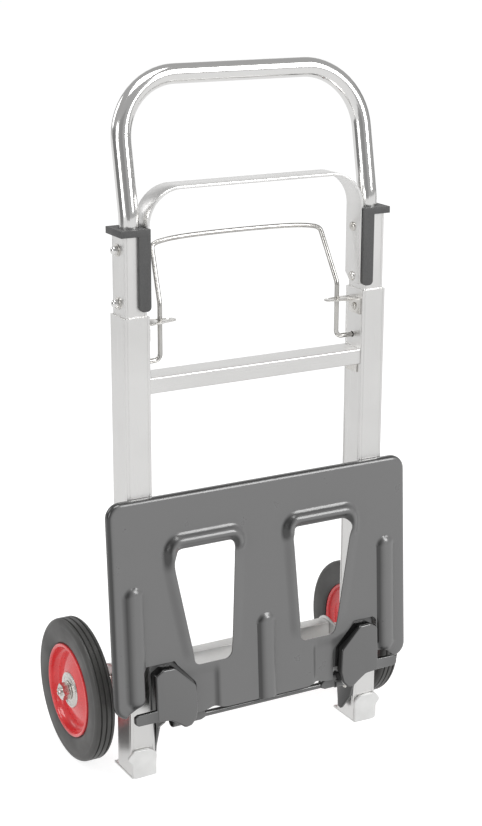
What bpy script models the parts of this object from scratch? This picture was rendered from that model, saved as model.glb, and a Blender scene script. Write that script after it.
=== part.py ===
"""Folding hand truck: telescopic aluminium frame, folding steel toe plate, two wheels.

Metres, +Z up, front of the truck towards -Y.  Depths (y) are first counted from the
front face of the uprights; recentre() then puts the origin under the middle of the truck.
"""
import math

import bmesh
import bpy
from mathutils import Matrix, Vector

MM = 0.001
SEAT = 0.1 * MM             # gap between pieces that rest on one another
RUN = 0.3 * MM              # gap between pieces that slide or turn

# ---------------------------------------------------------------- driving dimensions
UPRIGHT_OUT = 166.5 * MM    # outer side of an upright, from the middle plane
UPRIGHT_IN = 136.0 * MM     # inner side of an upright
UPRIGHT_DEEP = 36.5 * MM
UPRIGHT_TOP = 545.0 * MM
WALL = 2.0 * MM
FOOT_PLATE = 3.0 * MM       # thickness of the plate under an upright

PROFILE_BOTTOM = 165.0 * MM
PROFILE_TOP = 633.0 * MM
CAP_TOP = 640.5 * MM
HANDLE_X = 151.0 * MM       # middle of a handle leg
HANDLE_Y = 18.5 * MM
HANDLE_R = 11.0 * MM
HANDLE_TOP = 797.0 * MM     # middle of the grip bar
HANDLE_LEAN = math.radians(11.4)
HANDLE_BEND = 70.0 * MM

STRAP_IN = 133.4 * MM
STRAP_THICK = 3.4 * MM
STRAP_TOP = 683.0 * MM
BOLT_Y = 20.0 * MM
BOLT_Z = (559.0 * MM, 617.0 * MM)
BOLT_R = 3.0 * MM

WIRE_R = 2.75 * MM
BAIL_Y = 21.0 * MM
BAIL_PIN_Z = 489.5 * MM
BAIL_LEG_X = 114.0 * MM
BAIL_KINK_Z = 553.0 * MM
BAIL_CORNER = Vector((108.5, 51.0, 612.0)) * MM   # where a leg turns into the bow
TAB_Z = 533.5 * MM

AXLE_Y = 86.5 * MM
AXLE_Z = 85.0 * MM
AXLE_R = 5.0 * MM
WHEEL_R = 85.0 * MM
WHEEL_IN = 183.0 * MM
WHEEL_OUT = 208.0 * MM
INBOARD = {"left": 0.0, "right": 4.0 * MM}      # how much nearer the frame a wheel stands
RIM_R = 55.5 * MM
WHEEL_STEPS = 32            # facets round a wheel; tyre, rim and disc share them so they nest
BRACKET_X = 148.0 * MM      # inner side of an axle bracket

PLATE_HALF = 195.0 * MM
PLATE_HIGH = 253.5 * MM
PLATE_BASE_Y = -24.4 * MM   # bottom edge of the toe plate's front face
PLATE_BASE_Z = 88.0 * MM
PLATE_TILT = math.radians(3.54)
PLATE_SHEET = 1.8 * MM
PLATE_FLANGE = 8.0 * MM
PIVOT_Y = 10.0 * MM
PIVOT_Z = 50.0 * MM
PIVOT_R = 4.0 * MM
ROD_Y = -13.5 * MM          # rod between the claws
ROD_Z = 68.0 * MM

ORIGIN_Y = 68.2 * MM        # middle of the truck, behind the uprights' front face

ALUMINIUM = (0.78, 0.79, 0.80, 1)
CHROME = (0.88, 0.89, 0.90, 1)
ZINC = (0.62, 0.63, 0.64, 1)
BLACK = (0.03, 0.03, 0.03, 1)
PLATE_GREY = (0.10, 0.10, 0.11, 1)
PLASTIC = (0.07, 0.07, 0.07, 1)
RUBBER = (0.06, 0.06, 0.06, 1)
RED = (0.75, 0.04, 0.05, 1)
SILVER = (0.70, 0.71, 0.72, 1)

SIDES = {"left": -1, "right": 1}


# ---------------------------------------------------------------- scene and materials
for old in list(bpy.data.objects):
    bpy.data.objects.remove(old, do_unlink=True)
PARTS = bpy.data.collections.new("hand_truck")
CUTTERS = bpy.data.collections.new("cutters")
bpy.context.scene.collection.children.link(PARTS)
bpy.context.scene.collection.children.link(CUTTERS)


def material(name, colour, metallic, roughness):
    made = bpy.data.materials.new(name)
    made.use_nodes = True
    shader = made.node_tree.nodes["Principled BSDF"]
    shader.inputs["Base Color"].default_value = colour
    shader.inputs["Metallic"].default_value = metallic
    shader.inputs["Roughness"].default_value = roughness
    return made


# ---------------------------------------------------------------- mesh helpers
def mesh_from(bm, name):
    bmesh.ops.recalc_face_normals(bm, faces=bm.faces)
    mesh = bpy.data.meshes.new(name)
    bm.to_mesh(mesh)
    bm.free()
    return mesh


def cutter(mesh):
    """A helper solid for a Boolean; it is never a piece of the truck."""
    made = bpy.data.objects.new(mesh.name, mesh)
    CUTTERS.objects.link(made)
    made.hide_render = True
    made.display_type = "WIRE"
    return made


def piece(name, mesh, colour, metallic=0.0, roughness=0.5):
    made = bpy.data.objects.new(name, mesh)
    PARTS.objects.link(made)
    mesh.materials.clear()
    mesh.materials.append(material(name + "_finish", colour, metallic, roughness))
    return made


def combine(target, tools, operation):
    """Cut the tools from the target, or join them to it."""
    for tool in tools:
        step = target.modifiers.new(operation.lower(), "BOOLEAN")
        step.operation = operation
        step.solver = "EXACT"
        step.object = tool


def round_edges(target, width, segments=2, angle=35):
    step = target.modifiers.new("rounding", "BEVEL")
    step.width = width
    step.segments = segments
    step.limit_method = "ANGLE"
    step.angle_limit = math.radians(angle)


def box(name, low, high):
    bm = bmesh.new()
    bmesh.ops.create_cube(bm, size=1)
    size = [b - a for a, b in zip(low, high)]
    middle = [(a + b) / 2 for a, b in zip(low, high)]
    bmesh.ops.scale(bm, vec=size, verts=bm.verts)
    bmesh.ops.translate(bm, vec=middle, verts=bm.verts)
    return mesh_from(bm, name)


def mirrored_box(name, side, low, high):
    """A box given for the right side, placed on either side."""
    xs = sorted((side * low[0], side * high[0]))
    return box(name, (xs[0], low[1], low[2]), (xs[1], high[1], high[2]))


def prism(name, outline, start, end, plane="YZ"):
    """A flat outline pushed out along the axis that is missing from its plane."""
    def place(a, b, along):
        if plane == "YZ":
            return (along, a, b)
        if plane == "XZ":
            return (a, along, b)
        return (a, b, along)

    bm = bmesh.new()
    near = [bm.verts.new(place(a, b, start)) for a, b in outline]
    far = [bm.verts.new(place(a, b, end)) for a, b in outline]
    bm.faces.new(near)
    bm.faces.new(list(reversed(far)))
    for i in range(len(outline)):
        j = (i + 1) % len(outline)
        bm.faces.new((near[j], near[i], far[i], far[j]))
    return mesh_from(bm, name)


def rounded(corners, radius, steps=4):
    """The outline with each corner rounded; radius is one number or one per corner."""
    radii = radius if isinstance(radius, (list, tuple)) else [radius] * len(corners)
    points = []
    for i, corner in enumerate(corners):
        here = Vector(corner)
        if radii[i] <= 0:
            points.append(tuple(here))
            continue
        back = (Vector(corners[i - 1]) - here).normalized()
        ahead = (Vector(corners[(i + 1) % len(corners)]) - here).normalized()
        half = back.angle(ahead) / 2
        reach = radii[i] / math.tan(half)
        centre = here + (back + ahead).normalized() * (radii[i] / math.sin(half))
        first = here + back * reach - centre
        last = here + ahead * reach - centre
        for k in range(steps + 1):
            share = k / steps
            turn = first.lerp(last, share).normalized() * radii[i]
            points.append(tuple(centre + turn))
    return points


def rounded_path(corners, radii, steps=6):
    """A 3-D centre line through the corners, each inner corner rounded."""
    points = [Vector(corners[0])]
    for i in range(1, len(corners) - 1):
        here = Vector(corners[i])
        back = (Vector(corners[i - 1]) - here).normalized()
        ahead = (Vector(corners[i + 1]) - here).normalized()
        half = back.angle(ahead) / 2
        centre = here + (back + ahead).normalized() * (radii[i - 1] / math.sin(half))
        reach = radii[i - 1] / math.tan(half)
        first = here + back * reach - centre
        last = here + ahead * reach - centre
        for k in range(steps + 1):
            points.append(centre + first.lerp(last, k / steps).normalized() * radii[i - 1])
    points.append(Vector(corners[-1]))
    return points


def rod_along(name, points, radius, sides=12):
    """A closed round bar along a centre line, with the same section all the way."""
    bm = bmesh.new()
    rings = []
    across = None
    for i, point in enumerate(points):
        before = (point - points[i - 1]).normalized() if i else None
        after = (points[i + 1] - point).normalized() if i < len(points) - 1 else None
        along = ((before or after) + (after or before)).normalized()
        if across is None:
            across = along.orthogonal().normalized()
        across = (across - along * across.dot(along)).normalized()
        over = along.cross(across)
        ring = []
        for k in range(sides):
            turn = 2 * math.pi * k / sides
            offset = across * math.cos(turn) + over * math.sin(turn)
            ring.append(bm.verts.new(point + offset * radius))
        rings.append(ring)
    for first, second in zip(rings, rings[1:]):
        for k in range(sides):
            n = (k + 1) % sides
            bm.faces.new((first[k], first[n], second[n], second[k]))
    bm.faces.new(rings[0])
    bm.faces.new(list(reversed(rings[-1])))
    return mesh_from(bm, name)


def lathe(name, profile, y, z, side=1, steps=32):
    """A solid turned about an axis along X; profile points are (x, radius).

    A profile that starts and ends on the axis is closed there; any other is a ring.
    """
    bm = bmesh.new()
    rings = []
    for x, radius in profile:
        if radius == 0:
            rings.append([bm.verts.new((side * x, y, z))])
            continue
        ring = []
        for k in range(steps):
            turn = 2 * math.pi * k / steps
            ring.append(bm.verts.new((side * x, y + radius * math.cos(turn), z + radius * math.sin(turn))))
        rings.append(ring)
    pairs = list(zip(rings, rings[1:]))
    if profile[0][1] > 0:
        pairs.append((rings[-1], rings[0]))
    for first, second in pairs:
        for k in range(steps):
            n = (k + 1) % steps
            if len(first) == 1:
                bm.faces.new((first[0], second[k], second[n]))
            elif len(second) == 1:
                bm.faces.new((first[k], first[n], second[0]))
            else:
                bm.faces.new((first[k], first[n], second[n], second[k]))
    return mesh_from(bm, name)


def pin_along_x(name, start, end, radius, y, z, side=1, steps=20):
    return lathe(name, [(start, 0), (start, radius), (end, radius), (end, 0)], y, z, side, steps)


def set_origin(target, point):
    """Move a piece's own origin to a point without moving its shape."""
    target.data.transform(Matrix.Translation(-Vector(point)))
    target.location = point


# ---------------------------------------------------------------- lower frame
def upright(word, side):
    """Rectangular tube, open at both ends, holed for the bail pin and the pivot pin."""
    made = piece(word + "_upright", mirrored_box("upright", side, (UPRIGHT_IN, 0, FOOT_PLATE + SEAT),
                 (UPRIGHT_OUT, UPRIGHT_DEEP, UPRIGHT_TOP)), ALUMINIUM, 1.0, 0.35)
    bore = cutter(mirrored_box("upright_bore", side, (UPRIGHT_IN + WALL, WALL, -0.01),
                  (UPRIGHT_OUT - WALL, UPRIGHT_DEEP - WALL, UPRIGHT_TOP + 0.01)))
    pin_hole = cutter(pin_along_x("bail_hole", UPRIGHT_IN - 0.004, UPRIGHT_IN + 0.006, 3.6 * MM,
                                  BAIL_Y, BAIL_PIN_Z, side))
    pivot_hole = cutter(pin_along_x("pivot_hole", UPRIGHT_IN - 0.004, UPRIGHT_IN + 0.006,
                                    PIVOT_R + SEAT, PIVOT_Y, PIVOT_Z, side))
    combine(made, [bore, pin_hole, pivot_hole], "DIFFERENCE")


def cross_tube():
    """Flat rectangular tube that joins the uprights below the bail."""
    end = UPRIGHT_IN - SEAT
    front, back = 2.0 * MM, 36.0 * MM
    low, high = 457.5 * MM, 475.5 * MM
    made = piece("cross_tube", box("cross_tube", (-end, front, low), (end, back, high)), ALUMINIUM, 1.0, 0.35)
    wall = 1.6 * MM
    bore = cutter(box("cross_bore", (-end - 0.01, front + wall, low + wall), (end + 0.01, back - wall, high - wall)))
    combine(made, [bore], "DIFFERENCE")


def cross_bracket(word, side):
    """Small angle under each end of the cross tube, against the upright."""
    wall = UPRIGHT_IN - SEAT
    top = 457.5 * MM - SEAT
    corner = [(wall, top), (wall - 12 * MM, top), (wall - 12 * MM, top - 1.6 * MM),
              (wall - 1.6 * MM, top - 1.6 * MM), (wall - 1.6 * MM, top - 11 * MM), (wall, top - 11 * MM)]
    outline = [(side * x, z) for x, z in corner]
    piece(word + "_cross_bracket", prism("cross_bracket", outline, 8 * MM, 30 * MM, "XZ"), ZINC, 1.0, 0.4)


def axle_beam():
    """Channel, open below, that ties the two axle brackets together over the axle."""
    end = BRACKET_X - SEAT
    front, back = AXLE_Y - 9 * MM, AXLE_Y + 9 * MM
    low, high = 84.0 * MM, 101.5 * MM
    wall = 1.8 * MM
    outline = [(front, low), (front, high), (back, high), (back, low), (back - wall, low),
               (back - wall, high - wall), (front + wall, high - wall), (front + wall, low)]
    piece("axle_beam", prism("axle_beam", outline, -end, end), SILVER, 1.0, 0.4)


def axle_bracket(word, side):
    """Plate with a round eye for the axle, and a flange on the upright's back."""
    front = UPRIGHT_DEEP + SEAT
    low, high = 46 * MM, 97 * MM
    eye = 21 * MM
    outline = [(front, low), (front, high)]
    for k in range(21):
        turn = math.radians(112 - 11.8 * k)
        outline.append((AXLE_Y + eye * math.cos(turn), AXLE_Z + eye * math.sin(turn)))
    xs = sorted((side * BRACKET_X, side * (BRACKET_X + 3 * MM)))
    made = piece(word + "_axle_bracket", prism("axle_bracket", outline, xs[0], xs[1]), SILVER, 1.0, 0.45)
    flange = cutter(mirrored_box("bracket_flange", side, (UPRIGHT_IN + 4 * MM, front, low),
                    (UPRIGHT_OUT - 4 * MM, front + 2.5 * MM, high)))
    hole = cutter(pin_along_x("axle_hole", BRACKET_X - 0.01, BRACKET_X + 0.01, AXLE_R + SEAT, AXLE_Y, AXLE_Z, side))
    combine(made, [flange], "UNION")
    combine(made, [hole], "DIFFERENCE")


def axle():
    end = 219 * MM
    piece("axle", pin_along_x("axle", -end, end, AXLE_R, AXLE_Y, AXLE_Z, 1, 24), ZINC, 1.0, 0.35)


def axle_fittings(word, side):
    """Ringed spacer inside the wheel, washer and nut outside it."""
    bore = AXLE_R + SEAT
    start, end = BRACKET_X + 3 * MM + SEAT, 186.5 * MM - INBOARD[word] - RUN
    ring = (end - start) / 7
    spacer = [(start, bore)]
    for k in range(4):
        left = start + 2 * k * ring
        spacer += [(left, 9.0 * MM), (left + ring, 9.0 * MM)]
        if k < 3:
            spacer += [(left + ring, 7.4 * MM), (left + 2 * ring, 7.4 * MM)]
    spacer.append((end, bore))
    piece(word + "_spacer", lathe("spacer", spacer, AXLE_Y, AXLE_Z, side, 16), ZINC, 1.0, 0.45)
    washer_in = 206.3 * MM - INBOARD[word]
    washer_out = washer_in + 1.6 * MM
    washer = [(washer_in, bore), (washer_in, 11.5 * MM), (washer_out, 11.5 * MM), (washer_out, bore)]
    piece(word + "_axle_washer", lathe("washer", washer, AXLE_Y, AXLE_Z, side, 24), ZINC, 1.0, 0.35)
    nut_in, nut_out = washer_out + SEAT, washer_out + 8 * MM
    flat_bore = bore / math.cos(math.pi / 6)      # a six-sided bore that clears the round axle
    nut = [(nut_in, flat_bore), (nut_in, 10.4 * MM), (nut_out - 1.2 * MM, 10.4 * MM), (nut_out, 9 * MM),
           (nut_out, flat_bore)]
    piece(word + "_axle_nut", lathe("nut", nut, AXLE_Y, AXLE_Z, side, 6), ZINC, 1.0, 0.3)


def foot(word, side):
    """Cast foot: plate under the upright, plug inside it and a shield in front of it."""
    shield = [(136.0, 0), (164.5, 0), (166.8, 7), (167.4, 18), (172.0, 25), (168.8, 31), (162.0, 35.5),
              (147.0, 35.0), (139.5, 32.0), (135.6, 26.5), (136.2, 16)]
    outline = [(side * x * MM, z * MM) for x, z in shield]
    made = piece(word + "_foot", prism("shield", outline, -4.4 * MM, -RUN, "XZ"), SILVER, 1.0, 0.4)
    under = cutter(mirrored_box("foot_plate", side, (136.4 * MM, -2 * MM, 0), (167.0 * MM, 46 * MM, FOOT_PLATE)))
    plug = cutter(mirrored_box("foot_plug", side, (UPRIGHT_IN + WALL + RUN, WALL + RUN, 1 * MM),
                  (UPRIGHT_OUT - WALL - RUN, UPRIGHT_DEEP - WALL - RUN, 24 * MM)))
    combine(made, [under, plug], "UNION")


def guide_tab(word, side):
    """Slotted tab near the top of an upright; a leg of the bail runs in its slot."""
    wall = UPRIGHT_IN - SEAT
    thick = 1.6 * MM
    leaf = [(wall, 3 * MM), (wall, 27 * MM), (118 * MM, 27 * MM), (98 * MM, 23 * MM), (96 * MM, 18 * MM),
            (98 * MM, 13 * MM), (118 * MM, 7 * MM)]
    outline = [(side * x, y) for x, y in leaf]
    made = piece(word + "_guide_tab", prism("tab_leaf", outline, TAB_Z, TAB_Z + thick, "XY"), ZINC, 1.0, 0.4)
    drop = cutter(mirrored_box("tab_drop", side, (wall - thick, 3 * MM, TAB_Z - 17 * MM),
                  (wall, 27 * MM, TAB_Z + 0.8 * MM)))
    slot = cutter(mirrored_box("tab_slot", side, (101.5 * MM, BAIL_Y - WIRE_R - 0.5 * MM, TAB_Z - 0.005),
                  (118 * MM, BAIL_Y + WIRE_R + 0.5 * MM, TAB_Z + 0.005)))
    combine(made, [drop], "UNION")
    combine(made, [slot], "DIFFERENCE")


def tab_rivet(word, side):
    face = UPRIGHT_IN - 1.6 * MM - 2 * SEAT
    dome = [(face, 0), (face, 4.5 * MM), (face - 1.4 * MM, 3.6 * MM), (face - 2.2 * MM, 0)]
    piece(word + "_tab_rivet", lathe("rivet", dome, 15 * MM, TAB_Z - 9 * MM, side, 16), ZINC, 1.0, 0.3)


def pivot_pin(word, side):
    """Headed pin on which the toe plate's claw turns."""
    head = 128 * MM
    neck = 131.2 * MM
    end = UPRIGHT_IN + WALL + 1.2 * MM
    shape = [(head, 0), (head, 6 * MM), (neck, 6 * MM), (neck, PIVOT_R), (end, PIVOT_R), (end, 0)]
    piece(word + "_pivot_pin", lathe("pivot_pin", shape, PIVOT_Y, PIVOT_Z, side, 20), ZINC, 1.0, 0.35)


# ---------------------------------------------------------------- telescopic handle
def inner_profile(word, side):
    """Hollow section that slides inside an upright."""
    inner, outer = UPRIGHT_IN + WALL + RUN, UPRIGHT_OUT - WALL - RUN
    front, back = WALL + RUN, UPRIGHT_DEEP - WALL - RUN
    wall = 1.6 * MM
    made = piece(word + "_inner_profile", mirrored_box("profile", side, (inner, front, PROFILE_BOTTOM),
                 (outer, back, PROFILE_TOP)), ALUMINIUM, 1.0, 0.35)
    bore = cutter(mirrored_box("profile_bore", side, (inner + wall, front + wall, PROFILE_BOTTOM - 0.01),
                  (outer - wall, back - wall, PROFILE_TOP + 0.01)))
    holes = [cutter(pin_along_x("bolt_hole", inner - 0.005, outer + 0.005, BOLT_R + SEAT, BOLT_Y, z, side))
             for z in BOLT_Z]
    combine(made, [bore] + holes, "DIFFERENCE")


def handle_centre_line(foot_z):
    """Legs that stand in the profiles, lean back above the caps and bend into the grip."""
    rise = Vector((0, math.sin(HANDLE_LEAN), math.cos(HANDLE_LEAN)))
    knee_z = 652 * MM
    knee = Vector((HANDLE_X, HANDLE_Y, knee_z))
    reach = (HANDLE_TOP - knee_z) / rise.z
    shoulder = knee + rise * reach
    half = [Vector((HANDLE_X, HANDLE_Y, foot_z)), knee, shoulder]
    flip = Matrix.Diagonal((-1, 1, 1))
    corners = [flip @ p for p in half] + list(reversed(half))
    return rounded_path(corners, [60 * MM, HANDLE_BEND, HANDLE_BEND, 60 * MM], 7)


def handle_tube():
    """One bent steel tube, open at both feet, drilled for the strap bolts."""
    foot_z = 545 * MM
    made = piece("handle_tube", rod_along("handle_tube", handle_centre_line(foot_z), HANDLE_R, 16), CHROME, 1.0, 0.08)
    bore = cutter(rod_along("handle_bore", handle_centre_line(foot_z - 5 * MM), HANDLE_R - 1.3 * MM, 12))
    holes = [cutter(pin_along_x("leg_hole", HANDLE_X - 0.02, HANDLE_X + 0.02, BOLT_R + SEAT, BOLT_Y, z, side))
             for z in BOLT_Z for side in SIDES.values()]
    combine(made, [bore] + holes, "DIFFERENCE")


def cap(word, side):
    """Plastic cap around the handle leg, with a long tongue down the profile's front corner."""
    top_outline = [(134.8, -1.5), (169.3, -1.5), (169.3, 38.0), (137.6, 38.0), (137.6, 2.2), (134.8, 2.2)]
    outline = [(side * x * MM, y * MM) for x, y in top_outline]
    made = piece(word + "_cap", prism("cap_plate", outline, PROFILE_TOP + SEAT, CAP_TOP, "XY"), PLASTIC, 0.0, 0.55)
    tongue_outline = [(136.0, 553.0), (138.5, 551.0), (146.0, 551.0), (148.5, 553.0), (148.5, 636.0), (134.8, 636.0),
                      (134.8, 553.0)]
    tongue = cutter(prism("cap_tongue", [(side * x * MM, z * MM) for x, z in tongue_outline],
                          -1.5 * MM, WALL + RUN - SEAT, "XZ"))
    hole = cutter(rod_along("handle_hole", [Vector((side * HANDLE_X, HANDLE_Y, 0.60)),
                                            Vector((side * HANDLE_X, HANDLE_Y, 0.66))], HANDLE_R + RUN, 16))
    combine(made, [tongue], "UNION")
    combine(made, [hole], "DIFFERENCE")


def back_strap():
    """Flat bar bent into an arch between the profiles, behind the bail."""
    low = 552 * MM
    bend = 38 * MM
    inside = STRAP_IN
    corners = [(-inside, low), (-inside, STRAP_TOP - STRAP_THICK), (inside, STRAP_TOP - STRAP_THICK), (inside, low)]
    inner = rounded(corners, [0, bend, bend, 0], 6)
    outside = inside + STRAP_THICK
    corners = [(outside, low), (outside, STRAP_TOP), (-outside, STRAP_TOP), (-outside, low)]
    outer = rounded(corners, [0, bend + STRAP_THICK, bend + STRAP_THICK, 0], 6)
    made = piece("back_strap", prism("strap", inner + outer, 3.2 * MM, 35 * MM, "XZ"), ALUMINIUM, 1.0, 0.35)
    holes = [cutter(pin_along_x("strap_hole", inside - 0.01, outside + 0.01, BOLT_R + SEAT, BOLT_Y, z, side))
             for z in BOLT_Z for side in SIDES.values()]
    combine(made, holes, "DIFFERENCE")


def strap_bolt(word, level, side, z):
    """Button-headed bolt through strap and profile, with its washer and dome nut outside."""
    head_in, head_out = STRAP_IN - 3 * MM, STRAP_IN - SEAT
    outer = UPRIGHT_OUT - WALL - RUN
    washer_in, washer_out = outer + SEAT, outer + 1.2 * MM
    end = washer_out + 2.5 * MM
    shape = [(head_in, 0), (head_in, 3.4 * MM), (head_in + 1.2 * MM, 5.5 * MM), (head_out, 5.5 * MM),
             (head_out, BOLT_R), (end, BOLT_R), (end, 0)]
    name = word + "_" + level
    piece(name + "_bolt", lathe("bolt", shape, BOLT_Y, z, side, 16), ZINC, 1.0, 0.3)
    ring = [(washer_in, BOLT_R + SEAT), (washer_in, 6.8 * MM), (washer_out, 6.8 * MM), (washer_out, BOLT_R + SEAT)]
    piece(name + "_washer", lathe("bolt_washer", ring, BOLT_Y, z, side, 20), ZINC, 1.0, 0.35)
    nut_in = washer_out + SEAT
    dome = [(end + SEAT, 0), (end + SEAT, BOLT_R + SEAT), (nut_in, BOLT_R + SEAT), (nut_in, 5.2 * MM),
            (nut_in + 3 * MM, 5.2 * MM), (nut_in + 5.4 * MM, 4 * MM), (nut_in + 6.8 * MM, 0)]
    piece(name + "_nut", lathe("dome_nut", dome, BOLT_Y, z, side, 18), CHROME, 1.0, 0.15)


# ---------------------------------------------------------------- bail
def bail_bow():
    """The top of the wire bail, from corner to corner, bowed a little upward."""
    corner = BAIL_CORNER
    gap = WIRE_R + RUN
    half = [Vector((corner.x - 9 * MM, corner.y, corner.z + 4.5 * MM)),
            Vector((corner.x * 0.5, corner.y, corner.z + 7 * MM))]
    ends = [Vector((-corner.x + gap, corner.y, corner.z + 1.5 * MM))]
    ends += [Vector((-p.x, p.y, p.z)) for p in half]
    ends.append(Vector((0, corner.y, corner.z + 7.8 * MM)))
    ends += [p for p in reversed(half)]
    ends.append(Vector((corner.x - gap, corner.y, corner.z + 1.5 * MM)))
    piece("bail_bow", rod_along("bail_bow", ends, WIRE_R, 10), CHROME, 1.0, 0.12)


def bail_leg(word, side):
    """A leg of the bail: corner, slant, straight run through the tab and pin into the upright."""
    corner = BAIL_CORNER
    kink = Vector((BAIL_LEG_X, BAIL_Y, BAIL_KINK_Z))
    elbow = Vector((BAIL_LEG_X, BAIL_Y, BAIL_PIN_Z))
    tip = Vector((UPRIGHT_IN + 1.7 * MM, BAIL_Y, BAIL_PIN_Z))
    path = rounded_path([corner, kink, elbow, tip], [16 * MM, 7 * MM], 5)
    if side < 0:
        path = [Vector((-p.x, p.y, p.z)) for p in path]
    made = piece(word + "_bail_leg", rod_along("bail_leg", path, WIRE_R, 10), CHROME, 1.0, 0.12)
    set_origin(made, (side * corner.x, corner.y, corner.z))


# ---------------------------------------------------------------- toe plate
def tilt_with_plate(mesh):
    """Turn a mesh drawn on an upright plate (x, depth, height) into the leaning plate's place."""
    mesh.transform(Matrix.Translation((0, PLATE_BASE_Y, PLATE_BASE_Z)) @ Matrix.Rotation(-PLATE_TILT, 4, "X"))
    return mesh


def window_outline(side):
    corners = [(38.5, 178), (46.5, 47), (93.5, 47), (120.5, 189.5), (40, 189.5)]
    radii = [6, 9, 9, 13, 4]
    outline = rounded([(x * MM, z * MM) for x, z in corners], [r * MM for r in radii], 3)
    return [(side * x, z) for x, z in outline]


def claw_notch(side):
    """Cut-out that a claw stands in, open at the plate's bottom edge; the outer edges differ a little."""
    if side < 0:
        outer_edge = [(181, -20), (181, 5), (171, 10.5), (163, 15), (160.5, 19), (160.5, 54), (156, 58.5)]
    else:
        outer_edge = [(178, -20), (178, 3.5), (165, 13), (152.5, 14), (152.5, 54), (148, 58.5)]
    inner_edge = [(120, 58.5), (117, 53), (92, 26), (92, -20)]
    return [(side * x * MM, z * MM) for x, z in outer_edge + inner_edge]


def plate_outline(inset):
    half = PLATE_HALF - inset
    low, high = inset, PLATE_HIGH - inset
    corners = [(-half, low), (half, low), (half, high), (-half, high)]
    return rounded(corners, [r * MM - inset for r in (12, 25, 17, 17)], 5)


def rib(x, low, high, radius, proud):
    """Upright rounded rib pressed out of the plate's front."""
    across = 7
    outline = []
    for k in range(across + 1):
        turn = math.pi * k / across
        outline.append((x + radius * math.cos(turn), -proud * math.sin(turn)))
    outline += [(x - radius, 1 * MM), (x + radius, 1 * MM)]
    return cutter(tilt_with_plate(prism("rib", outline, low, high, "XY")))


def toe_panel():
    """Pressed steel plate: folded edge, lip along the bottom, two windows, three ribs, a notch for each claw."""
    made = piece("toe_panel", tilt_with_plate(prism("panel", plate_outline(0), 0, PLATE_FLANGE, "XZ")),
                 PLATE_GREY, 0.0, 0.45)
    hollow = cutter(tilt_with_plate(prism("panel_hollow", plate_outline(PLATE_SHEET), PLATE_SHEET,
                                          PLATE_FLANGE + 0.01, "XZ")))
    ribs = [rib(-168 * MM, 12 * MM, 154 * MM, 11.5 * MM, 3.5 * MM), rib(0, 1 * MM, 92 * MM, 10.5 * MM, 3.5 * MM),
            rib(166 * MM, 12 * MM, 156 * MM, 11.5 * MM, 3.5 * MM)]
    lip = cutter(tilt_with_plate(box("panel_lip", (-88 * MM, 0, -7 * MM), (88 * MM, PLATE_SHEET, 2 * MM))))
    cuts = []
    for side in SIDES.values():
        cuts.append(cutter(tilt_with_plate(prism("window", window_outline(side), -0.01, 0.02, "XZ"))))
        cuts.append(cutter(tilt_with_plate(prism("notch", claw_notch(side), -0.01, 0.02, "XZ"))))
    combine(made, [hollow], "DIFFERENCE")
    combine(made, ribs + [lip], "UNION")
    combine(made, cuts, "DIFFERENCE")
    set_origin(made, (0, PIVOT_Y, PIVOT_Z))


def claw(word, side):
    """Black hinge claw: front block, thin arm beside it, flange behind the plate and cheek on the pin."""
    front, back = -9.5 * MM, 12.5 * MM
    block = [(149, -7.5), (149, 48), (139, 54), (124, 53), (98, 28), (96, 0), (99, -13), (105, -20), (113, -21.5),
             (121, -15.5), (131, -10)]
    outline = rounded([(side * x * MM, z * MM) for x, z in block], 3 * MM, 2)
    made = piece(word + "_claw", tilt_with_plate(prism("claw_block", outline, front, back, "XZ")), BLACK, 0.0, 0.2)
    round_edges(made, 2.2 * MM)
    arm = cutter(tilt_with_plate(mirrored_box("claw_arm", side, (140 * MM, -8.5 * MM, -7.2 * MM),
                 (175.5 * MM, -3 * MM, 4 * MM))))
    flange_outline = [(76, 3), (76, 24), (112, 62), (150, 62), (150, 3)]
    flange = cutter(tilt_with_plate(prism("claw_flange", [(side * x * MM, z * MM) for x, z in flange_outline],
                                          PLATE_SHEET + SEAT, 4.5 * MM, "XZ")))
    cheek_outline = [(-22, 120), (-8, 122), (6, 96), (26, 72), (34, 50), (22, 15), (15, 14), (3, 34), (-6, 60),
                     (-20, 72)]
    xs = sorted((side * 131.8 * MM, side * (UPRIGHT_IN - 0.4 * MM)))
    cheek = cutter(prism("claw_cheek", [(y * MM, z * MM) for y, z in cheek_outline], xs[0], xs[1]))
    knuckle = cutter(pin_along_x("claw_knuckle", 97.5 * MM, 122 * MM, 7 * MM, ROD_Y, ROD_Z, side, 16))
    hole = cutter(pin_along_x("cheek_hole", 0.12, UPRIGHT_IN + 0.002, PIVOT_R + RUN, PIVOT_Y, PIVOT_Z, side, 24))
    combine(made, [arm, flange, cheek, knuckle], "UNION")
    combine(made, [hole], "DIFFERENCE")
    set_origin(made, (0, PIVOT_Y, PIVOT_Z))


def claw_rod():
    """Round rod along the bottom of the plate, from knuckle to knuckle."""
    made = piece("claw_rod", pin_along_x("claw_rod", -97 * MM, 97 * MM, 3.6 * MM, ROD_Y, ROD_Z, 1, 16),
                 BLACK, 0.0, 0.25)
    set_origin(made, (0, PIVOT_Y, PIVOT_Z))


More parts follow.
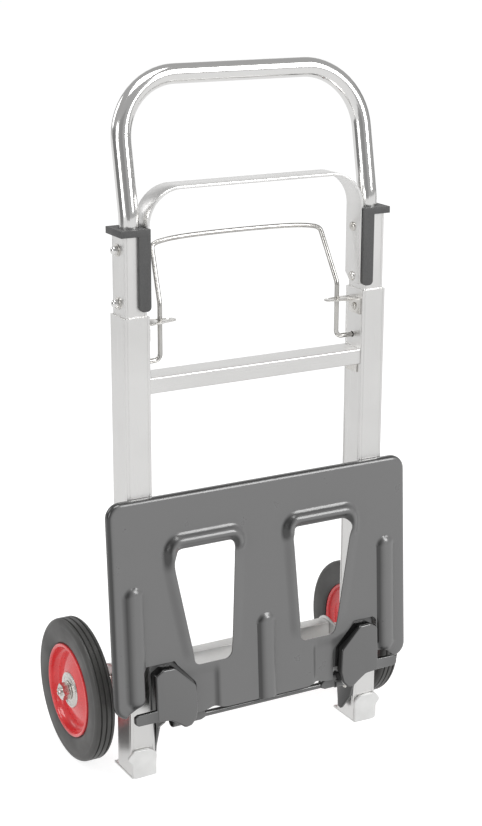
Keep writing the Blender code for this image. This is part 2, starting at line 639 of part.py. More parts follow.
# ---------------------------------------------------------------- wheels
def tyre(word, side):
    """Solid rubber tyre with three grooves round its tread."""
    start, end = WHEEL_IN - INBOARD[word], WHEEL_OUT - INBOARD[word]
    middle = (start + end) / 2
    seat = RIM_R + SEAT
    groove_x = (-6.5 * MM, 0, 6.5 * MM)
    profile = [(start + 3 * MM, seat), (start + 0.8 * MM, 60 * MM), (start, 72 * MM),
               (start + 1.2 * MM, 80.5 * MM), (start + 4 * MM, 84.2 * MM)]
    for x in groove_x:
        profile += [(middle + x - 1 * MM, WHEEL_R), (middle + x - 0.6 * MM, WHEEL_R - 2 * MM),
                    (middle + x + 0.6 * MM, WHEEL_R - 2 * MM), (middle + x + 1 * MM, WHEEL_R)]
    profile += [(end - 4 * MM, 84.2 * MM), (end - 1.2 * MM, 80.5 * MM), (end, 72 * MM),
                (end - 0.8 * MM, 60 * MM), (end - 3 * MM, seat)]
    made = piece(word + "_tyre", lathe("tyre", profile, AXLE_Y, AXLE_Z, side, WHEEL_STEPS), RUBBER, 0.0, 0.8)
    set_origin(made, (side * middle, AXLE_Y, AXLE_Z))


def rim(word, side):
    """Red pressed wheel disc: lip, dish and raised hub, bored for the axle."""
    half = [(9.3, 5.3), (8.5, 12), (7.5, 22), (3.5, 36), (3.0, 44), (7.0, 50), (12.2, 52.5), (12.4, 55.5),
            (-8.4, 55.5), (-8.2, 52.5), (-3.0, 50), (-1.0, 44), (-1.0, 30), (-5.0, 16), (-9.0, 13), (-9.0, 5.3)]
    middle = (WHEEL_IN + WHEEL_OUT) / 2 - INBOARD[word]
    profile = [(middle + x * MM, r * MM) for x, r in half]
    made = piece(word + "_rim", lathe("rim", profile, AXLE_Y, AXLE_Z, side, WHEEL_STEPS), RED, 0.0, 0.3)
    set_origin(made, (side * middle, AXLE_Y, AXLE_Z))


def hub_disc(word, side):
    """Zinc disc pressed on the outside of the wheel's hub."""
    middle = (WHEEL_IN + WHEEL_OUT) / 2 - INBOARD[word]
    half = [(9.4, 5.3), (8.6, 12), (7.6, 21.5), (8.7, 21.5), (9.5, 19), (10.4, 12), (10.5, 5.3)]
    profile = [(middle + x * MM, r * MM) for x, r in half]
    made = piece(word + "_hub_disc", lathe("hub_disc", profile, AXLE_Y, AXLE_Z, side, WHEEL_STEPS), ZINC, 1.0, 0.3)
    set_origin(made, (side * middle, AXLE_Y, AXLE_Z))


# ---------------------------------------------------------------- assembly
def recentre():
    """Put the origin on the floor under the middle of the truck."""
    for made in list(PARTS.objects) + list(CUTTERS.objects):
        made.location.y -= ORIGIN_Y


cross_tube()
axle_beam()
axle()
handle_tube()
back_strap()
bail_bow()
toe_panel()
claw_rod()
for side_word, side_sign in SIDES.items():
    upright(side_word, side_sign)
    cross_bracket(side_word, side_sign)
    axle_bracket(side_word, side_sign)
    axle_fittings(side_word, side_sign)
    foot(side_word, side_sign)
    guide_tab(side_word, side_sign)
    tab_rivet(side_word, side_sign)
    pivot_pin(side_word, side_sign)
    inner_profile(side_word, side_sign)
    cap(side_word, side_sign)
    for level_word, level_z in zip(("lower", "upper"), BOLT_Z):
        strap_bolt(side_word, level_word, side_sign, level_z)
    bail_leg(side_word, side_sign)
    claw(side_word, side_sign)
    tyre(side_word, side_sign)
    rim(side_word, side_sign)
    hub_disc(side_word, side_sign)
recentre()
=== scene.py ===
"""The looks of the folding hand truck: fine meshes, finishes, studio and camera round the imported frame.

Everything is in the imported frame: metres, +Z up, front of the truck towards -Y.
Depths are counted from the front face of the uprights (FRONT), in millimetres.
"""
import math

import bmesh
import bpy
from mathutils import Matrix, Vector


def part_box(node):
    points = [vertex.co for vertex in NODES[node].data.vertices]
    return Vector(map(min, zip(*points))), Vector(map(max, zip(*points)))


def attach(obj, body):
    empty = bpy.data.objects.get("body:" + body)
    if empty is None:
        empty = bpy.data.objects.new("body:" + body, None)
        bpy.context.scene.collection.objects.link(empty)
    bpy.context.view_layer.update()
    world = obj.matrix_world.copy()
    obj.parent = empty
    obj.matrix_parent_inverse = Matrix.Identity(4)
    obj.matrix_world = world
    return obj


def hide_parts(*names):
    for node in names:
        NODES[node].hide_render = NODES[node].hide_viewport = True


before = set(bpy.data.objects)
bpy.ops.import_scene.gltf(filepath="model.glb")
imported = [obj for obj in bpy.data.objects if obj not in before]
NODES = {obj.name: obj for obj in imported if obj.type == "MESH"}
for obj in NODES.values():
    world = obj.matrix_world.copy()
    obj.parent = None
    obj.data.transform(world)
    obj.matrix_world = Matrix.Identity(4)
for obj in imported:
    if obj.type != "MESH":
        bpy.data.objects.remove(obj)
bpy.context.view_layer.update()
SCENE = bpy.context.scene

MM = 0.001
SIDES = {"left": -1, "right": 1}
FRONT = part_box("left_upright")[0].y
AXLE_Y = (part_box("axle")[0].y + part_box("axle")[1].y) / 2
AXLE_Z = (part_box("axle")[0].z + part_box("axle")[1].z) / 2
AXLE = ((AXLE_Y - FRONT) / MM, AXLE_Z / MM)      # depth and height of the axle, millimetres
FACE = math.radians(30)          # edges sharper than this stay crisp
WELD = 0.001 * MM                # points nearer than this are one point

# ---------------------------------------------------------------- driving sizes, millimetres
UPRIGHT_IN = 136.0
UPRIGHT_OUT = 166.5
UPRIGHT_DEEP = 36.5
WALL = 2.0
RUN = 0.3                        # running gap round the sliding profiles
HANDLE_X = 151.0
HANDLE_Y = 18.5
HANDLE_R = 11.0
HANDLE_TOP = 796.9
HANDLE_LEAN = math.radians(11.4)
STRAP_IN = 133.4
STRAP_THICK = 3.4
STRAP_TOP = 683.0
BOLT_Y = 20.0
BOLT_LEVELS = {"lower": 559.0, "upper": 617.0}
WIRE_R = 2.75
WHEEL_MIDDLE = 195.5
AXLE_END = 219.0
AXLE_BORE = 5.1                  # radius of what slips over the axle
HUB_BORE = 5.3
INBOARD = {"left": 0.0, "right": 4.0}    # how much nearer the frame a wheel stands
BAIL_Y = 21.0
BAIL_PIN_Z = 489.5
BAIL_CORNER = Vector((108.5, 51.0, 612.0))
BOW_END = Vector((101.0, 51.0, 615.0))
PLATE_HALF = 195.0
PLATE_HIGH = 253.5
PLATE_BASE = Vector((0, -24.4, 88.0))
PLATE_TILT = math.radians(3.54)
PLATE_SHEET = 1.8
PIVOT = (10.0, 50.0)             # depth and height of the toe plate's pins
ROD = (-13.5, 68.0)              # depth and height of the rod between the claws
WINDOW = [(38.5, 178.0), (46.5, 47.0), (93.5, 47.0), (120.5, 189.5), (40.0, 189.5)]
WINDOW_RADII = [6, 9, 9, 13, 6]
RIBS = ((-168.0, 12.0, 154.0), (0.0, -20.0, 92.0), (166.0, 12.0, 156.0))   # x, bottom, top
RIB_R = 11.0
RIB_PROUD = 4.8
BEAD_PROUD = 7.4
SWELL_PROUD = 2.2
BAND_STEP = 3.0

# ---------------------------------------------------------------- studio levels
WORLD_LEVEL = 0.42
FLOOR_ALBEDO = 0.40
FLOOR_GLOW = 0.85
MIRRORED_ALBEDO = 0.2
MIRRORED_GLOW = 0.74
FLOOR_RADIUS = 40.0              # metres
BACKDROP_RADIUS = 25.0           # metres; well inside the reach of any view's far clipping
TRUCK_MIDDLE = (0.0, 0.0, 0.4)   # where lights and cards aim, metres
# name: place in metres, width and height in metres, watts
LIGHTS = {
    "key_light": ((1.6, -2.3, 2.1), (1.3, 2.0), 54.0),
    "fill_left": ((-2.6, -0.9, 1.3), (1.0, 1.4), 13.0),
    "top_light": ((-0.3, -0.5, 3.0), (1.6, 1.2), 34.0),
    "rim_light": ((-1.8, 2.2, 1.8), (1.0, 1.4), 10.0),
}
# name: place in metres, width and height in metres, glow
CARDS = {
    "card_behind_camera": ((-1.6, -2.9, 1.5), (2.2, 2.4), 0.30),
    "card_left": ((-3.0, 0.9, 0.5), (2.6, 2.2), 0.22),
    "card_right": ((3.0, 0.6, 0.6), (1.0, 2.4), 0.25),
    "card_back_right": ((1.5, 3.2, 1.5), (3.4, 1.7), 0.95),
}
CAMERA_AZIMUTH = math.radians(-29.11)
CAMERA_ELEVATION = math.radians(16.54)
CAMERA_ROLL = math.radians(0.2)
CAMERA_DISTANCE = 1.9745
CAMERA_AIM = (-23.6, 0, 421.1)   # x, depth, height in millimetres
CAMERA_LENS = 76.39
CAMERA_SENSOR = 36.0


# ---------------------------------------------------------------- material nodes
def new_finish(name, colour, metallic, roughness, **sockets):
    """A Principled material; further sockets are given by name with _ for a space."""
    finish = bpy.data.materials.new(name)
    finish.use_nodes = True
    shader = finish.node_tree.nodes["Principled BSDF"]
    shader.inputs["Base Color"].default_value = (*colour, 1)
    shader.inputs["Metallic"].default_value = metallic
    shader.inputs["Roughness"].default_value = roughness
    for socket, value in sockets.items():
        shader.inputs[socket.replace("_", " ")].default_value = value
    return finish


def noise_in(finish, scale, stretch=(1, 1, 1), detail=3.0, distortion=0.0):
    """A noise texture over the piece's own coordinates; returns its value socket."""
    tree = finish.node_tree
    place = tree.nodes.new("ShaderNodeTexCoord")
    mapping = tree.nodes.new("ShaderNodeMapping")
    mapping.inputs["Scale"].default_value = stretch
    noise = tree.nodes.new("ShaderNodeTexNoise")
    noise.inputs["Scale"].default_value = scale
    noise.inputs["Detail"].default_value = detail
    noise.inputs["Distortion"].default_value = distortion
    tree.links.new(place.outputs["Object"], mapping.inputs["Vector"])
    tree.links.new(mapping.outputs["Vector"], noise.inputs["Vector"])
    return noise.outputs["Fac"]


def vary_roughness(finish, source, low, high):
    tree = finish.node_tree
    spread = tree.nodes.new("ShaderNodeMapRange")
    spread.inputs["From Min"].default_value = 0.3
    spread.inputs["From Max"].default_value = 0.7
    spread.inputs["To Min"].default_value = low
    spread.inputs["To Max"].default_value = high
    tree.links.new(source, spread.inputs["Value"])
    tree.links.new(spread.outputs["Result"], tree.nodes["Principled BSDF"].inputs["Roughness"])


def vary_colour(finish, source, dark, light, low=0.35, high=0.65):
    tree = finish.node_tree
    ramp = tree.nodes.new("ShaderNodeValToRGB")
    ramp.color_ramp.elements[0].position = low
    ramp.color_ramp.elements[0].color = (*dark, 1)
    ramp.color_ramp.elements[1].position = high
    ramp.color_ramp.elements[1].color = (*light, 1)
    tree.links.new(source, ramp.inputs["Fac"])
    tree.links.new(ramp.outputs["Color"], tree.nodes["Principled BSDF"].inputs["Base Color"])


def add_bump(finish, source, strength, distance):
    tree = finish.node_tree
    bump = tree.nodes.new("ShaderNodeBump")
    bump.inputs["Strength"].default_value = strength
    bump.inputs["Distance"].default_value = distance
    tree.links.new(source, bump.inputs["Height"])
    tree.links.new(bump.outputs["Normal"], tree.nodes["Principled BSDF"].inputs["Normal"])


def grey(value):
    return (value, value, value)


def drawn_aluminium(name, stretch):
    """Extruded, lightly satin aluminium; the fine lines run along the small stretch."""
    finish = new_finish(name, (0.79, 0.785, 0.775), 1.0, 0.34)
    lines = noise_in(finish, 1.0, stretch, 4.0)
    vary_roughness(finish, lines, 0.27, 0.40)
    add_bump(finish, lines, 0.10, 0.02 * MM)
    vary_colour(finish, noise_in(finish, 9.0), (0.76, 0.755, 0.745), (0.82, 0.815, 0.805))
    return finish


def chrome_plate():
    finish = new_finish("chrome_plate", (0.83, 0.825, 0.815), 1.0, 0.06)
    vary_roughness(finish, noise_in(finish, 60.0, detail=5.0), 0.09, 0.15)
    return finish


def spring_wire():
    """Drawn steel wire of the bail, duller than the handle's chrome."""
    finish = new_finish("spring_wire", (0.56, 0.55, 0.53), 1.0, 0.2)
    vary_roughness(finish, noise_in(finish, 90.0, detail=4.0), 0.15, 0.27)
    vary_colour(finish, noise_in(finish, 50.0), (0.50, 0.49, 0.47), (0.62, 0.61, 0.59))
    return finish


def zinc_plate():
    finish = new_finish("zinc_plate", (0.74, 0.725, 0.70), 1.0, 0.28)
    cloud = noise_in(finish, 220.0, detail=5.0)
    vary_roughness(finish, cloud, 0.18, 0.38)
    vary_colour(finish, noise_in(finish, 45.0), (0.64, 0.62, 0.585), (0.80, 0.79, 0.77))
    return finish


def cast_silver():
    """Pale sprayed casting of the feet."""
    finish = new_finish("cast_silver", (0.82, 0.82, 0.81), 0.35, 0.42)
    grain = noise_in(finish, 900.0, detail=4.0)
    vary_roughness(finish, grain, 0.36, 0.5)
    add_bump(finish, grain, 0.25, 0.15 * MM)
    vary_colour(finish, noise_in(finish, 30.0), (0.76, 0.76, 0.75), (0.86, 0.86, 0.85))
    return finish


def silver_steel():
    finish = new_finish("silver_steel", (0.78, 0.775, 0.765), 0.75, 0.4)
    grain = noise_in(finish, 350.0, detail=4.0)
    vary_roughness(finish, grain, 0.32, 0.46)
    vary_colour(finish, noise_in(finish, 20.0), (0.72, 0.715, 0.70), (0.82, 0.815, 0.805))
    return finish


def painted_shade_when_turned(finish, mottle, face, side, start, end):
    """Painted shade: base colour goes from the face colour to the dark side colour as the skin turns away
    from the front, sooner where it turns left and later where it turns up, as a fixed light from the
    front, right and above would shade it.
    """
    tree = finish.node_tree
    place = tree.nodes.new("ShaderNodeTexCoord")
    # painted light: how squarely the skin faces a fixed light from the front, a little right and above
    painted_light_facing = tree.nodes.new("ShaderNodeVectorMath")
    painted_light_facing.operation = "DOT_PRODUCT"
    painted_light_facing.inputs[1].default_value = (-0.35, 1.0, -0.15)
    tree.links.new(place.outputs["Normal"], painted_light_facing.inputs[0])
    # a little random mottle mixed into the painted shade
    wear_and_painted_shade = tree.nodes.new("ShaderNodeMath")
    wear_and_painted_shade.operation = "MULTIPLY_ADD"
    wear_and_painted_shade.inputs[1].default_value = 0.12
    tree.links.new(mottle, wear_and_painted_shade.inputs[0])
    tree.links.new(painted_light_facing.outputs["Value"], wear_and_painted_shade.inputs[2])
    spread = tree.nodes.new("ShaderNodeMapRange")
    spread.inputs["From Min"].default_value = start
    spread.inputs["From Max"].default_value = end
    # face: painted lit colour of skin facing the front; side: painted shade of skin turned away
    ramp = tree.nodes.new("ShaderNodeValToRGB")
    ramp.color_ramp.elements[0].color = (*face, 1)
    ramp.color_ramp.elements[1].color = (*side, 1)
    tree.links.new(wear_and_painted_shade.outputs["Value"], spread.inputs["Value"])
    tree.links.new(spread.outputs["Result"], ramp.inputs["Fac"])
    tree.links.new(ramp.outputs["Color"], tree.nodes["Principled BSDF"].inputs["Base Color"])


def plate_enamel_painted_shade():
    """Satin dark grey enamel with a faint orange-peel skin, and painted shade where the pressing bends
    away.
    """
    finish = new_finish("plate_enamel_painted_shade", grey(0.105), 0.0, 0.3, Specular_IOR_Level=0.8,
                        Coat_Weight=0.6, Coat_Roughness=0.14)
    mottle = noise_in(finish, 9.0, detail=5.0)
    # painted shade: grey 0.13 on skin facing the front, near black 0.008 where the pressing turns away
    painted_shade_when_turned(finish, mottle, grey(0.13), grey(0.008), -0.93, -0.60)
    vary_roughness(finish, noise_in(finish, 35.0, detail=5.0), 0.27, 0.36)
    add_bump(finish, noise_in(finish, 700.0, detail=2.0), 0.10, 0.1 * MM)
    return finish


def claw_enamel_painted_shade():
    """Glossy enamel of the claws and the rod: painted lighter grey on the front faces and painted shade,
    near black, at the sides.
    """
    finish = new_finish("claw_enamel_painted_shade", grey(0.02), 0.0, 0.2, Coat_Weight=0.5, Coat_Roughness=0.08)
    mottle = noise_in(finish, 30.0, detail=5.0)
    # painted shade: grey 0.13 on faces turned to the front, near black 0.005 on the side walls
    painted_shade_when_turned(finish, mottle, grey(0.13), grey(0.005), -0.90, -0.55)
    vary_roughness(finish, noise_in(finish, 60.0, detail=5.0), 0.12, 0.22)
    add_bump(finish, noise_in(finish, 240.0, detail=2.0), 0.08, 0.2 * MM)
    return finish


def cap_plastic():
    """Moulded grey-black plastic with a fine spark texture."""
    finish = new_finish("cap_plastic", grey(0.075), 0.0, 0.5)
    spark = noise_in(finish, 1800.0, detail=2.0)
    add_bump(finish, spark, 0.45, 0.2 * MM)
    vary_colour(finish, spark, grey(0.062), grey(0.095))
    vary_roughness(finish, noise_in(finish, 80.0), 0.48, 0.62)
    return finish


def tyre_rubber():
    finish = new_finish("tyre_rubber", grey(0.06), 0.0, 0.45)
    vary_roughness(finish, noise_in(finish, 40.0, detail=4.0), 0.36, 0.52)
    wear_and_painted_shade = noise_in(finish, 25.0, detail=4.0)
    vary_colour(finish, wear_and_painted_shade, (0.055, 0.054, 0.052), (0.075, 0.074, 0.071))
    add_bump(finish, noise_in(finish, 1200.0, detail=2.0), 0.15, 0.1 * MM)
    return finish


def red_enamel():
    finish = new_finish("red_enamel", (0.80, 0.05, 0.055), 0.0, 0.28, Coat_Weight=0.6,
                        Coat_Roughness=0.08)
    vary_roughness(finish, noise_in(finish, 90.0, detail=4.0), 0.22, 0.36)
    vary_colour(finish, noise_in(finish, 30.0), (0.74, 0.042, 0.048), (0.86, 0.065, 0.07))
    return finish


ALUMINIUM_UP = drawn_aluminium("drawn_aluminium_upright", (1400, 1400, 9))
ALUMINIUM_ACROSS = drawn_aluminium("drawn_aluminium_cross", (9, 1400, 1400))
ALUMINIUM_STRAP = drawn_aluminium("drawn_aluminium_strap", (30, 1400, 30))
CHROME = chrome_plate()
WIRE = spring_wire()
ZINC = zinc_plate()
CAST = cast_silver()
SILVER = silver_steel()
PLATE = plate_enamel_painted_shade()
CLAW = claw_enamel_painted_shade()
PLASTIC = cap_plastic()
RUBBER = tyre_rubber()
RED = red_enamel()


# ---------------------------------------------------------------- mesh helpers
def at(x, depth, height):
    """A point from millimetres: x from the middle, depth behind FRONT, height over the floor."""
    return Vector((x * MM, FRONT + depth * MM, height * MM))


def mirrored(points, side):
    """Sketch points in millimetres, drawn for the right side, as metres on either side."""
    return [(side * x * MM, v * MM) for x, v in points]


def placed(bm, name):
    """Turn a bmesh into an object in the scene."""
    mesh = bpy.data.meshes.new(name)
    bm.to_mesh(mesh)
    bm.free()
    made = bpy.data.objects.new(name, mesh)
    SCENE.collection.objects.link(made)
    return made


def solid(bm, name="solid"):
    """An object from a bmesh, faces pointing out."""
    bmesh.ops.remove_doubles(bm, verts=bm.verts, dist=WELD)
    bmesh.ops.recalc_face_normals(bm, faces=bm.faces)
    return placed(bm, name)


def apply_steps(target):
    """Turn the evaluated mesh into the object's own mesh."""
    bpy.context.view_layer.update()
    graph = bpy.context.evaluated_depsgraph_get()
    mesh = bpy.data.meshes.new_from_object(target.evaluated_get(graph))
    target.modifiers.clear()
    target.data = mesh
    return target


def combine(target, tools, operation):
    for tool in tools:
        step = target.modifiers.new("combine", "BOOLEAN")
        step.operation = operation
        step.solver = "EXACT"
        step.object = tool
    apply_steps(target)
    for tool in tools:
        bpy.data.objects.remove(tool, do_unlink=True)
    return target


def soften(target, width, segments=3, angle=40):
    """Round the sharp edges; width in millimetres."""
    step = target.modifiers.new("rounding", "BEVEL")
    step.width = width * MM
    step.segments = segments
    step.limit_method = "ANGLE"
    step.angle_limit = math.radians(angle)
    return apply_steps(target)


def show(target, name, finish, body, slot, *nodes, crisp=FACE):
    """Name a finished shape, give it its material and let it ride in place of CAD nodes."""
    target.name = name
    target.data.name = name
    target.data.materials.clear()
    target.data.materials.append(finish)
    target.data.shade_smooth()
    target.data.set_sharp_from_angle(angle=crisp)
    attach(target, body)
    if nodes:
        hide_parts(*nodes)
    return target


def loft(rings, close_ends=True, ring_closed=False):
    """Skin a row of equal closed rings of points."""
    bm = bmesh.new()
    grid = [[bm.verts.new(p) for p in ring] for ring in rings]
    pairs = list(zip(grid, grid[1:]))
    if ring_closed:
        pairs.append((grid[-1], grid[0]))
    count = len(grid[0])
    for first, second in pairs:
        for k in range(count):
            n = (k + 1) % count
            bm.faces.new((first[k], first[n], second[n], second[k]))
    if close_ends and not ring_closed:
        bm.faces.new(grid[0])
        bm.faces.new(list(reversed(grid[-1])))
    return bm


def prism(outline, start, end, plane):
    """A flat outline pushed along the axis that its plane lacks; all in metres."""
    order = {"YZ": (2, 0, 1), "XZ": (0, 2, 1), "XY": (0, 1, 2)}[plane]
    rings = []
    for along in (start, end):
        known = [(a, b, along) for a, b in outline]
        rings.append([tuple(point[k] for k in order) for point in known])
    return loft(rings)


def block(low, high):
    """A box between two corners given in millimetres, x possibly mirrored."""
    a, b = at(*low), at(*high)
    xs, ys, zs = sorted((a.x, b.x)), sorted((a.y, b.y)), sorted((a.z, b.z))
    outline = [(xs[0], ys[0]), (xs[1], ys[0]), (xs[1], ys[1]), (xs[0], ys[1])]
    return prism(outline, zs[0], zs[1], "XY")


def turned(profile, depth, height, side=1, steps=96):
    """A ring or solid turned about an axis along X; profile points are (x, radius) in millimetres."""
    centre = at(0, depth, height)
    rings = []
    for x, radius in profile:
        ring = []
        for k in range(steps):
            turn = 2 * math.pi * k / steps
            spoke = Vector((side * x, radius * math.cos(turn), radius * math.sin(turn)))
            ring.append(centre + spoke * MM)
        rings.append(ring)
    open_profile = min(profile[0][1], profile[-1][1]) < 0.01
    return solid(loft(rings, close_ends=False, ring_closed=not open_profile))


def eased(points, steps=6):
    """A smooth curve through the points (Catmull-Rom), which may be of any dimension."""
    points = [Vector(p) for p in points]
    made = []
    for i in range(len(points) - 1):
        a = points[max(i - 1, 0)]
        b, c = points[i], points[i + 1]
        d = points[min(i + 2, len(points) - 1)]
        for k in range(steps):
            t = k / steps
            made.append(0.5 * ((2 * b) + (c - a) * t + (2 * a - 5 * b + 4 * c - d) * t * t
                               + (3 * b - a - 3 * c + d) * t ** 3))
    made.append(points[-1])
    return made


def rounded(corners, radii, steps=6, closed=True):
    """Corners joined by straight runs and arcs, in 2-D or 3-D; a radius of 0 keeps a corner."""
    corners = [Vector(c) for c in corners]
    if not isinstance(radii, (list, tuple)):
        radii = [radii] * len(corners)
    made = []
    for i, here in enumerate(corners):
        at_end = not closed and i in (0, len(corners) - 1)
        if at_end or radii[i] <= 0:
            made.append(here)
            continue
        back = (corners[i - 1] - here).normalized()
        ahead = (corners[(i + 1) % len(corners)] - here).normalized()
        half = math.acos(max(-1, min(1, back.dot(ahead)))) / 2
        centre = here + (back + ahead).normalized() * (radii[i] / math.sin(half))
        reach = radii[i] / math.tan(half)
        first, last = here + back * reach - centre, here + ahead * reach - centre
        for k in range(steps + 1):
            made.append(centre + first.lerp(last, k / steps).normalized() * radii[i])
    return made


def swept(path, radius, sides=28, bore=0, round_ends=False):
    """A rod, or a tube with a bore, along a path in metres; radii in millimetres."""
    frames = []
    across = None
    for i, point in enumerate(path):
        before = (point - path[i - 1]).normalized() if i else None
        after = (path[i + 1] - point).normalized() if i < len(path) - 1 else None
        along = ((before or after) + (after or before)).normalized()
        across = along.orthogonal().normalized() if across is None else across
        across = (across - along * across.dot(along)).normalized()
        frames.append((point, along, across, along.cross(across)))

    def ring(place, size, shift=0.0):
        point, along, first, second = place
        made = []
        for k in range(sides):
            turn = 2 * math.pi * k / sides
            spoke = first * math.cos(turn) + second * math.sin(turn)
            made.append(point + along * shift + spoke * size * MM)
        return made

    if bore:
        outer = [ring(f, radius) for f in frames]
        inner = [ring(f, bore) for f in reversed(frames)]
        return solid(loft(outer + inner, close_ends=False, ring_closed=True))
    def dome(place, way, angles):
        """Rings that round one end off; way is -1 at the start of the path and 1 at its end."""
        turns = [math.radians(a) for a in angles]
        return [ring(place, radius * math.sin(t), way * radius * MM * math.cos(t)) for t in turns]

    rings = [ring(f, radius) for f in frames]
    if round_ends:
        rings = dome(frames[0], -1, (10, 30, 50, 70)) + rings + dome(frames[-1], 1, (70, 50, 30, 10))
    return solid(loft(rings))


# ---------------------------------------------------------------- extruded profiles
def section(low, high, radius, groove):
    """Rounded rectangle in millimetres with a fine groove beside each corner, on all four sides."""
    (left, front), (right, back) = low, high
    corners = [Vector(p) for p in ((left, front), (right, front), (right, back), (left, back))]
    wide, deep = 0.55, 0.35
    arc = 4
    made = []
    for i, here in enumerate(corners):
        ahead = corners[(i + 1) % 4] - here
        length = ahead.length
        ahead.normalize()
        inward = (corners[i - 1] - here).normalized()
        centre = here + (ahead + inward) * radius
        for k in range(arc + 1):
            turn = math.pi / 2 * k / arc
            made.append(centre - ahead * radius * math.cos(turn) - inward * radius * math.sin(turn))
        for place in (groove, length - groove):
            made += [here + ahead * (place - wide), here + ahead * place + inward * deep,
                     here + ahead * (place + wide)]
    return made


def bore_of(outline, low, high, wall):
    """The inside of a tube: each point of its outline held a wall's thickness off the sides."""
    made = []
    for p in outline:
        across = min(max(p.x, low[0] + wall), high[0] - wall)
        along = min(max(p.y, low[1] + wall), high[1] - wall)
        made.append(Vector((across, along)))
    return made


def hollow_profile(low, high, bottom, top, wall, groove):
    outer = section(low, high, 1.0, groove)
    inner = bore_of(outer, low, high, wall)
    rings = [[at(p.x, p.y, z) for p in outline]
             for outline, z in ((outer, bottom), (outer, top), (inner, top), (inner, bottom))]
    return solid(loft(rings, close_ends=False, ring_closed=True))


def upright(word, side):
    low, high = sorted((side * UPRIGHT_IN, side * UPRIGHT_OUT))
    made = hollow_profile((low, 0), (high, UPRIGHT_DEEP), 3.1, 545.0, WALL, 3.4)
    start, end = UPRIGHT_IN - 5, UPRIGHT_IN + 5
    holes = []
    for radius, depth, height in ((3.6, BAIL_Y, BAIL_PIN_Z), (4.1, *PIVOT)):
        drill = [(start, 0), (start, radius), (end, radius), (end, 0)]
        holes.append(turned(drill, depth, height, side, 32))
    combine(made, holes, "DIFFERENCE")
    show(made, word + "_upright_profile", ALUMINIUM_UP, "lower_frame", "aluminium", word + "_upright")


def inner_profile(word, side):
    low, high = sorted((side * (UPRIGHT_IN + WALL + RUN), side * (UPRIGHT_OUT - WALL - RUN)))
    front, back = WALL + RUN, UPRIGHT_DEEP - WALL - RUN
    made = hollow_profile((low, front), (high, back), 165.0, 633.0, 1.6, 3.0)
    show(made, word + "_sliding_profile", ALUMINIUM_UP, "handle", "aluminium", word + "_inner_profile")


def cross_tube():
    end = UPRIGHT_IN - 0.1
    wall = bend = 1.6
    low, high = (2.0, 457.5), (36.0, 475.5)
    outline = rounded([low, (high[0], low[1]), high, (low[0], high[1])], bend, 5)
    inner = bore_of(outline, low, high, wall)
    rings = [[at(x, p.x, p.y) for p in points]
             for points, x in ((outline, -end), (outline, end), (inner, end), (inner, -end))]
    made = solid(loft(rings, close_ends=False, ring_closed=True))
    show(made, "cross_tube_profile", ALUMINIUM_ACROSS, "lower_frame", "aluminium", "cross_tube")


# ---------------------------------------------------------------- handle
def handle_line(foot):
    rise = Vector((0, math.sin(HANDLE_LEAN), math.cos(HANDLE_LEAN)))
    knee_z = 652.0
    knee = Vector((HANDLE_X, HANDLE_Y, knee_z))
    shoulder = knee + rise * ((HANDLE_TOP - knee_z) / rise.z)
    half = [Vector((HANDLE_X, HANDLE_Y, foot)), knee, shoulder]
    corners = [Vector((-p.x, p.y, p.z)) for p in half] + list(reversed(half))
    return [at(*p) for p in rounded(corners, [0, 60, 70, 70, 60, 0], 16, closed=False)]


def handle():
    made = swept(handle_line(545.0), HANDLE_R, 48, bore=HANDLE_R - 1.3)
    show(made, "chromed_handle_tube", CHROME, "handle", "chrome", "handle_tube")


def cap(word, side):
    """Collar on top of the sliding profile, with a long tongue down its inner front corner."""
    inner, outer, tongue_edge = 134.8, 169.3, 148.5
    front, tongue_back, back = -1.5, 2.2, 38.0
    low, high, tongue_foot = 633.1, 640.5, 551.0
    collar = [(inner, front), (outer, front), (outer, back), (137.6, back), (137.6, tongue_back),
              (inner, tongue_back)]
    top = [(side * x * MM, FRONT + y * MM) for x, y in collar]
    made = solid(prism(top, low * MM, high * MM, "XY"))
    strip = rounded([(inner, tongue_foot), (tongue_edge, tongue_foot), (tongue_edge, 636.0),
                     (inner, 636.0)], [5, 5, 0, 0], 5)
    tongue = prism(mirrored(strip, side), FRONT + front * MM, FRONT + tongue_back * MM, "XZ")
    combine(made, [solid(tongue)], "UNION")
    soften(made, 0.9)
    line = [at(side * HANDLE_X, HANDLE_Y, 600), at(side * HANDLE_X, HANDLE_Y, 660)]
    hole = swept(line, HANDLE_R + 0.25, 48)
    combine(made, [hole], "DIFFERENCE")
    show(made, word + "_end_cap", PLASTIC, "handle", "black_plastic", word + "_cap")


def strap():
    """Flat bar bent into an arch, its lower back corners cut off on the slant."""
    low, bend = 552.0, 38.0
    under = STRAP_TOP - STRAP_THICK
    inside = [(-STRAP_IN, low), (-STRAP_IN, under), (STRAP_IN, under), (STRAP_IN, low)]
    out = STRAP_IN + STRAP_THICK
    outside = [(out, low), (out, STRAP_TOP), (-out, STRAP_TOP), (-out, low)]
    outer_bend = bend + STRAP_THICK
    outline = rounded(inside, [0, bend, bend, 0], 16)
    outline += rounded(outside, [0, outer_bend, outer_bend, 0], 16)
    made = solid(prism(mirrored(outline, 1), FRONT + 3.2 * MM, FRONT + 35 * MM, "XZ"))
    corner = [(FRONT + y * MM, z * MM) for y, z in ((37.0, 549.0), (37.0, 564.0), (22.0, 549.0))]
    combine(made, [solid(prism(corner, -0.2, 0.2, "YZ"))], "DIFFERENCE")
    soften(made, 0.8)
    show(made, "strap_arch", ALUMINIUM_STRAP, "handle", "aluminium", "back_strap")


